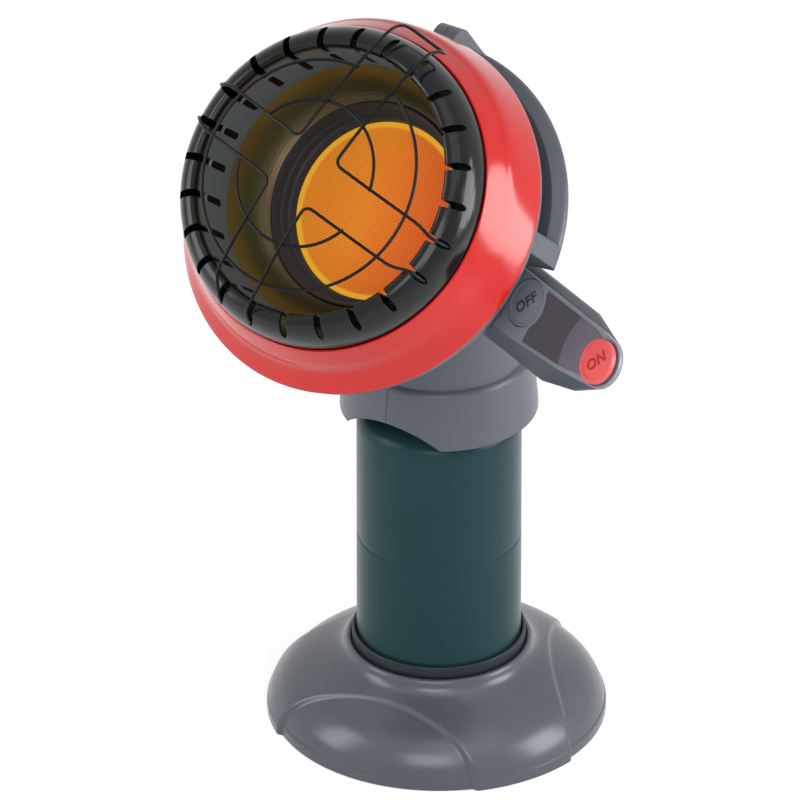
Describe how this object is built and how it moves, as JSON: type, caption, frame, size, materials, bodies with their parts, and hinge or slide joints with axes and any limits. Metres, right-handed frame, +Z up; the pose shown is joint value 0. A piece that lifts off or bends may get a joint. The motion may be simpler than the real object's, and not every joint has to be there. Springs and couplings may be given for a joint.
{
  "type": "portable propane heater",
  "caption": "Tilted radiant dish heater with a wire guard and a side control arm, screwed onto a gas cylinder that stands in a flared base.",
  "frame": {"origin": "centre of the base's underside, on the cylinder's axis", "axes": "+Z up along the cylinder, -Y the way the dish faces, +X towards the control arm"},
  "size_m": [0.304, 0.2945, 0.5071],
  "materials": {
    "grey_plastic": "satin",
    "dark_plastic": "satin",
    "rubber_black": "matte",
    "bottle_green": "satin",
    "brass": "turned",
    "red_gloss": "gloss",
    "on_coral": "satin",
    "black_enamel": "gloss",
    "guard_black": "satin",
    "mirror_steel": "polished",
    "steel": "brushed",
    "zinc": "die cast",
    "screw_steel": "zinc plated",
    "tile_orange": "glowing ceramic",
    "white_fibre": "ceramic",
    "label_charcoal": "satin print",
    "lead_black": "silicone",
    "copper": "drawn copper"
  },
  "bodies": {
    "base": {"base_bell": "grey_plastic", "base_sleeve": "dark_plastic", "base_pad": "rubber_black"},
    "bottle": {"bottle_lower": "bottle_green", "bottle_upper": "bottle_green", "bottle_collar": "bottle_green", "bottle_valve": "brass", "bottle_relief": "brass"},
    "seal": {"inlet_seal": "rubber_black"},
    "head": {"housing_left": "grey_plastic", "housing_right": "grey_plastic", "arm_shell": "grey_plastic", "housing_screws": "screw_steel", "red_shell": "red_gloss", "trim_ring": "black_enamel", "wire_guard": "guard_black", "reflector": "mirror_steel", "heat_shield": "steel", "burner_bezel": "black_enamel", "ceramic_tile": "tile_orange", "tile_gasket": "white_fibre", "burner_plenum": "steel", "mixer_tube": "steel", "gas_jet": "brass", "regulator_body": "zinc", "regulator_cap": "zinc", "depress_pin": "brass", "regulator_screws": "screw_steel", "supply_tube": "brass", "valve_body": "brass", "feed_tube": "brass", "pilot_bracket": "steel", "spark_electrode": "white_fibre", "thermocouple": "steel", "igniter_lead": "lead_black", "thermocouple_lead": "copper", "piezo_igniter": "dark_plastic", "tip_switch": "white_fibre", "control_panel": "grey_plastic", "label_plate": "label_charcoal", "button_guide": "dark_plastic", "panel_screws": "screw_steel", "off_spring": "steel", "on_spring": "steel"},
    "on_cap": {"on_button": "on_coral"},
    "off_cap": {"off_button": "grey_plastic"}
  },
  "joints": [
    {"name": "bottle_lift", "type": "slide", "parent": "base", "child": "bottle", "axis": [0, 0, 1], "range_m": [0, 0.05]},
    {"name": "seal_advance", "type": "slide", "parent": "bottle", "child": "seal", "axis": [0, 0, 1], "range_m": [0, 0.0045]},
    {"name": "head_unscrew", "type": "hinge", "parent": "seal", "child": "head", "pos_m": [0, 0, 0.228], "axis": [0, 0, 1], "range_deg": [0, 1260]},
    {"name": "on_press", "type": "slide", "parent": "head", "child": "on_cap", "axis": [0.3502, 0.7579, -0.5505], "range_m": [0, 0.0027], "stiffness_N_per_m": 600, "deforming": ["on_spring"]},
    {"name": "off_press", "type": "slide", "parent": "head", "child": "off_cap", "axis": [0.3502, 0.7579, -0.5505], "range_m": [0, 0.003], "stiffness_N_per_m": 800, "deforming": ["off_spring"]}
  ],
  "couplings": [
    {"joint": "seal_advance", "follows": "head_unscrew", "m_per_rad": 0.00020213}
  ]
}
